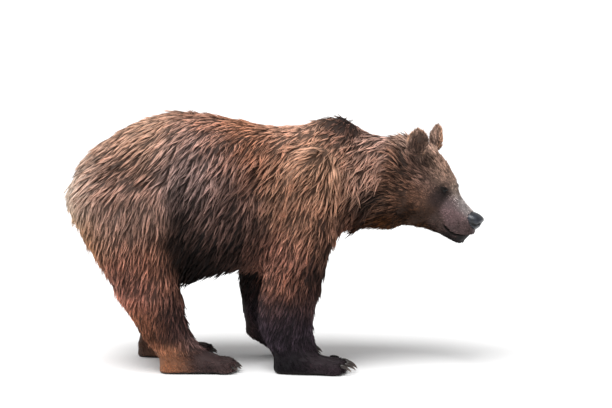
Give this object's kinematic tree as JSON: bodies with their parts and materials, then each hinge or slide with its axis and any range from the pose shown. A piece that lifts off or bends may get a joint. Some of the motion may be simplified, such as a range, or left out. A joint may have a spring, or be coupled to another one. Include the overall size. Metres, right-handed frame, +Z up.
{
  "type": "brown bear",
  "caption": "Life-size brown bear standing on all fours, head hanging a little and turned to its right: a still animal model with no joints",
  "frame": {"origin": "on the floor under the middle of the bear's bounding box", "axes": "+X the way the bear faces, +Y its left, +Z up"},
  "size_m": [1.748, 0.6328, 1.0928],
  "materials": {
    "coat": "long shaggy brown fur with paler tips",
    "dark_coat": "shorter dark brown fur of the lower legs and feet",
    "nose": "moist dark slate skin",
    "eye": "wet dark brown eyeball",
    "claw": "dark brown horn, slightly polished"
  },
  "bodies": {
    "root": {"belly": "coat", "chest": "coat", "claw_forepaw_left_1": "claw", "claw_forepaw_left_2": "claw", "claw_forepaw_left_3": "claw", "claw_forepaw_left_4": "claw", "claw_forepaw_left_5": "claw", "claw_forepaw_right_1": "claw", "claw_forepaw_right_2": "claw", "claw_forepaw_right_3": "claw", "claw_forepaw_right_4": "claw", "claw_forepaw_right_5": "claw", "claw_hindpaw_left_1": "claw", "claw_hindpaw_left_2": "claw", "claw_hindpaw_left_3": "claw", "claw_hindpaw_left_4": "claw", "claw_hindpaw_left_5": "claw", "claw_hindpaw_right_1": "claw", "claw_hindpaw_right_2": "claw", "claw_hindpaw_right_3": "claw", "claw_hindpaw_right_4": "claw", "claw_hindpaw_right_5": "claw", "ear_left": "coat", "ear_right": "coat", "eye_left": "eye", "eye_right": "eye", "forearm_left": "dark_coat", "forearm_right": "dark_coat", "forepaw_left": "dark_coat", "forepaw_right": "dark_coat", "head": "coat", "hindpaw_left": "dark_coat", "hindpaw_right": "dark_coat", "jaw": "coat", "neck": "coat", "nose": "nose", "rump": "coat", "shank_left": "coat", "shank_right": "coat", "tail": "coat", "thigh_left": "coat", "thigh_right": "coat", "upper_foreleg_left": "coat", "upper_foreleg_right": "coat"}
  },
  "joints": []
}
